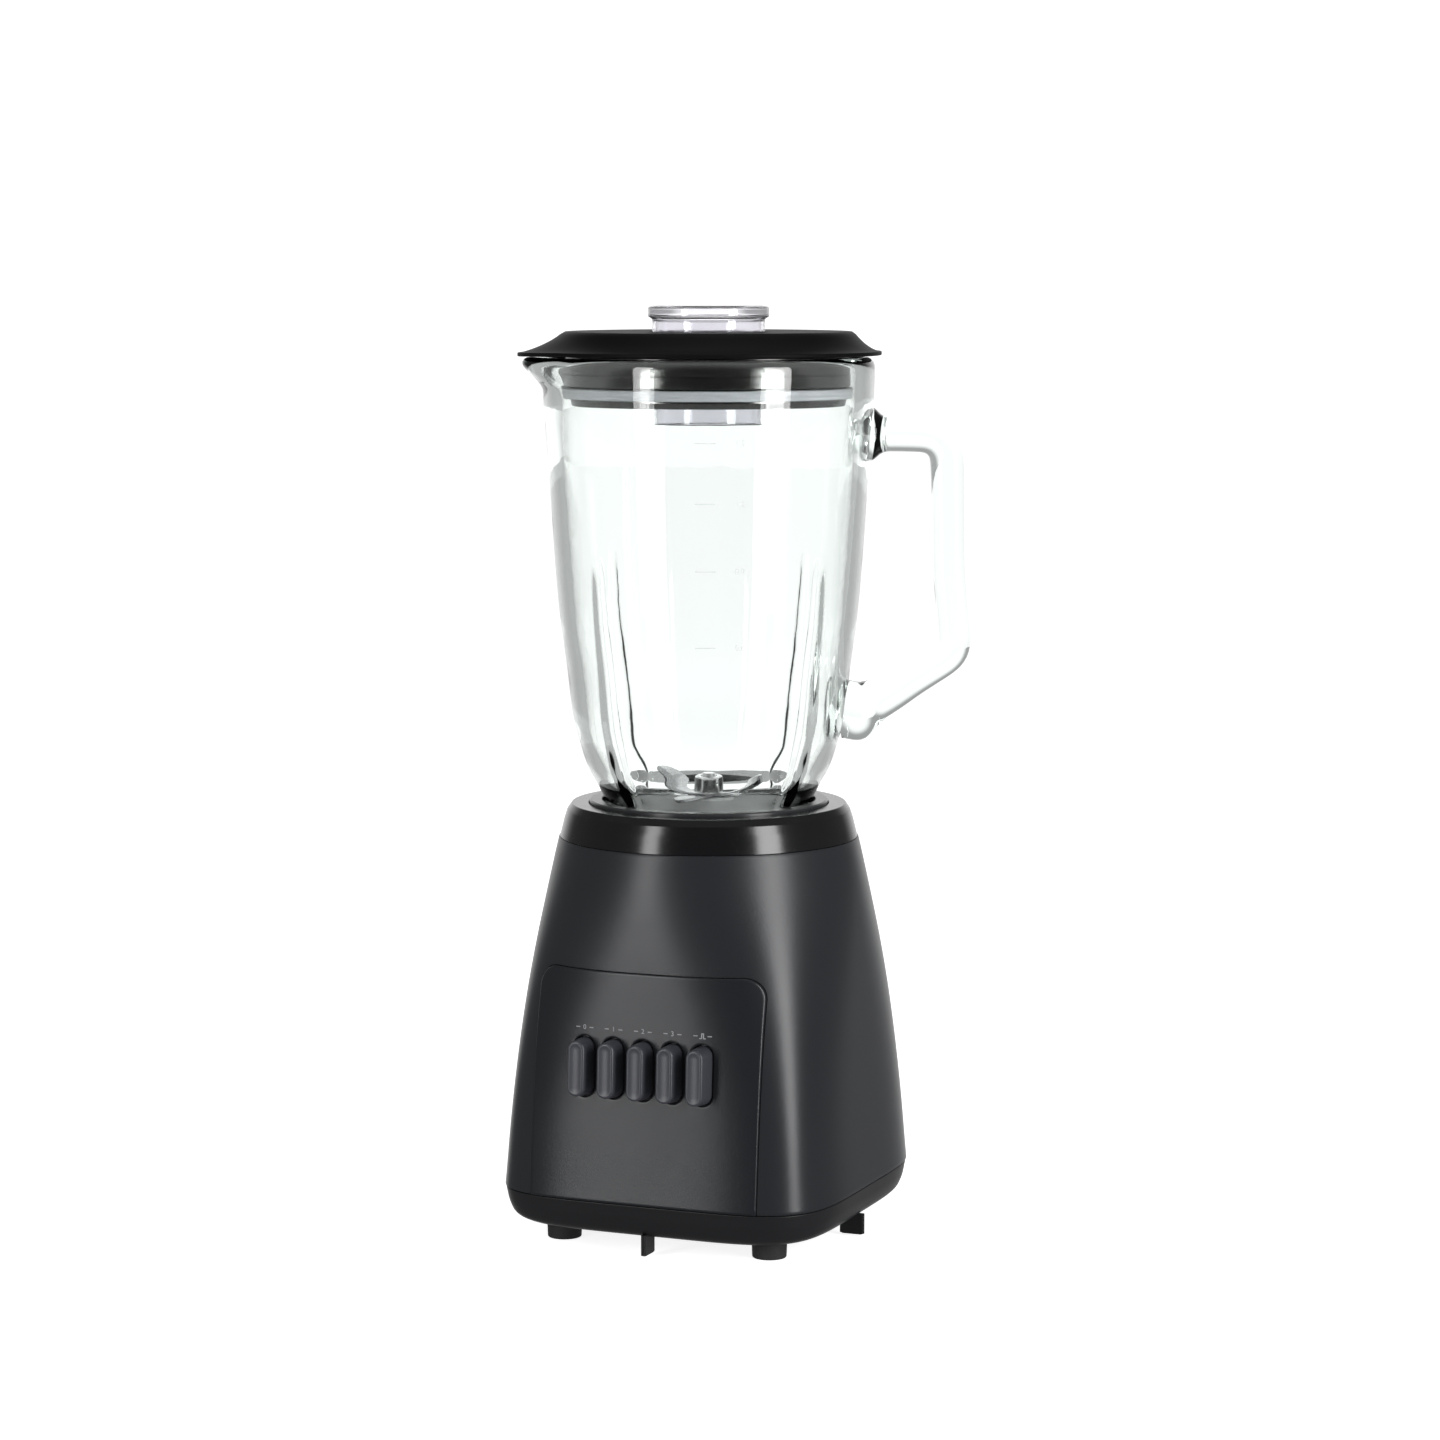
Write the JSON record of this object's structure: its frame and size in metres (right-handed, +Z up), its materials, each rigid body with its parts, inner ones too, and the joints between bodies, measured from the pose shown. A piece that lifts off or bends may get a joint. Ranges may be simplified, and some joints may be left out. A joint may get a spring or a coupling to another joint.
{
  "type": "countertop blender",
  "caption": "Countertop blender with a square black motor base, push keys, round glass jar with side handle and pouring lip, black lid and clear filler cap.",
  "frame": {"origin": "middle of the bounding box's underside, on the surface the feet stand on", "axes": "+Z up along the motor and jar axis, -Y out of the control panel, +X to the right of the panel; the jar's handle points 22.5 degrees from +X towards +Y"},
  "size_m": [0.1816, 0.1574, 0.3946],
  "materials": {
    "housing": "satin",
    "panel": "gloss",
    "keys": "satin",
    "lid": "satin",
    "gloss_black": "gloss",
    "band": "polished",
    "seal": "satin",
    "glass": "clear",
    "clear": "clear",
    "steel": "brushed",
    "copper": "enamelled",
    "bronze": "satin",
    "laminate": "matt",
    "carbon": "matt",
    "board": "satin",
    "nylon": "satin",
    "rubber": "matt"
  },
  "bodies": {
    "base": {"housing": "housing", "top_collar": "gloss_black", "jar_seat": "gloss_black", "control_panel": "panel", "bottom_cover": "gloss_black", "foot_1": "rubber", "foot_2": "rubber", "foot_3": "rubber", "foot_4": "rubber", "case_screw_1": "steel", "case_screw_2": "steel", "case_screw_3": "steel", "case_screw_4": "steel", "cord_inlet_bush": "rubber", "motor_bottom_bracket": "steel", "motor_top_bracket": "steel", "stator_core": "laminate", "field_coil_left": "copper", "field_coil_right": "copper", "carbon_brush_left": "carbon", "carbon_brush_right": "carbon", "brush_holder_left": "nylon", "brush_holder_right": "nylon", "bearing_bottom": "steel", "bearing_top": "steel", "motor_mount_1": "rubber", "motor_mount_2": "rubber", "motor_mount_3": "rubber", "motor_mount_4": "rubber", "motor_bolt_left": "steel", "motor_bolt_right": "steel", "switch_block": "nylon", "circuit_board": "board"},
    "rotor": {"rotor_shaft": "steel", "armature_core": "laminate", "armature_winding_lower": "copper", "armature_winding_upper": "copper", "commutator": "copper", "cooling_fan": "nylon", "drive_coupler": "nylon"},
    "jar": {"glass_jar": "glass", "jar_collar": "gloss_black", "jar_gasket": "seal", "blade_holder": "steel", "shaft_bush": "bronze", "shaft_seal": "rubber"},
    "blades": {"blade_shaft": "steel", "blade_lower": "steel", "blade_upper": "steel", "blade_nut": "steel", "driven_coupler": "nylon"},
    "lid": {"lid": "lid", "lid_sleeve": "band", "lid_gasket": "seal"},
    "filler_cap": {"filler_cap": "clear"},
    "key_off": {"key_off": "keys"},
    "key_1": {"key_1": "keys"},
    "key_2": {"key_2": "keys"},
    "key_3": {"key_3": "keys"},
    "key_pulse": {"key_pulse": "keys"}
  },
  "joints": [
    {"name": "jar_lift", "type": "slide", "parent": "base", "child": "jar", "axis": [0, 0, 1], "range_m": [0, 0.06]},
    {"name": "lid_lift", "type": "slide", "parent": "jar", "child": "lid", "axis": [0, 0, 1], "range_m": [0, 0.08]},
    {"name": "cap_lift", "type": "slide", "parent": "lid", "child": "filler_cap", "axis": [0, 0, 1], "range_m": [0, 0.06]},
    {"name": "motor_spin", "type": "hinge", "parent": "base", "child": "rotor", "pos_m": [-0.01355, 0.00217, 0.1], "axis": [0, 0, 1], "continuous": true},
    {"name": "blade_spin", "type": "hinge", "parent": "jar", "child": "blades", "pos_m": [-0.01355, 0.00217, 0.18], "axis": [0, 0, 1], "continuous": true},
    {"name": "press_off", "type": "slide", "parent": "base", "child": "key_off", "axis": [0, 0.9991, -0.0428], "range_m": [0, 0.0035], "stiffness_N_per_m": 300, "springref_m": -0.001},
    {"name": "press_1", "type": "slide", "parent": "base", "child": "key_1", "axis": [0, 0.9991, -0.0428], "range_m": [0, 0.0035], "stiffness_N_per_m": 300, "springref_m": -0.001},
    {"name": "press_2", "type": "slide", "parent": "base", "child": "key_2", "axis": [0, 0.9991, -0.0428], "range_m": [0, 0.0035], "stiffness_N_per_m": 300, "springref_m": -0.001},
    {"name": "press_3", "type": "slide", "parent": "base", "child": "key_3", "axis": [0, 0.9991, -0.0428], "range_m": [0, 0.0035], "stiffness_N_per_m": 300, "springref_m": -0.001},
    {"name": "press_pulse", "type": "slide", "parent": "base", "child": "key_pulse", "axis": [0, 0.9991, -0.0428], "range_m": [0, 0.0035], "stiffness_N_per_m": 300, "springref_m": -0.001}
  ],
  "couplings": [
    {"joint": "blade_spin", "follows": "motor_spin", "ratio": 1}
  ]
}
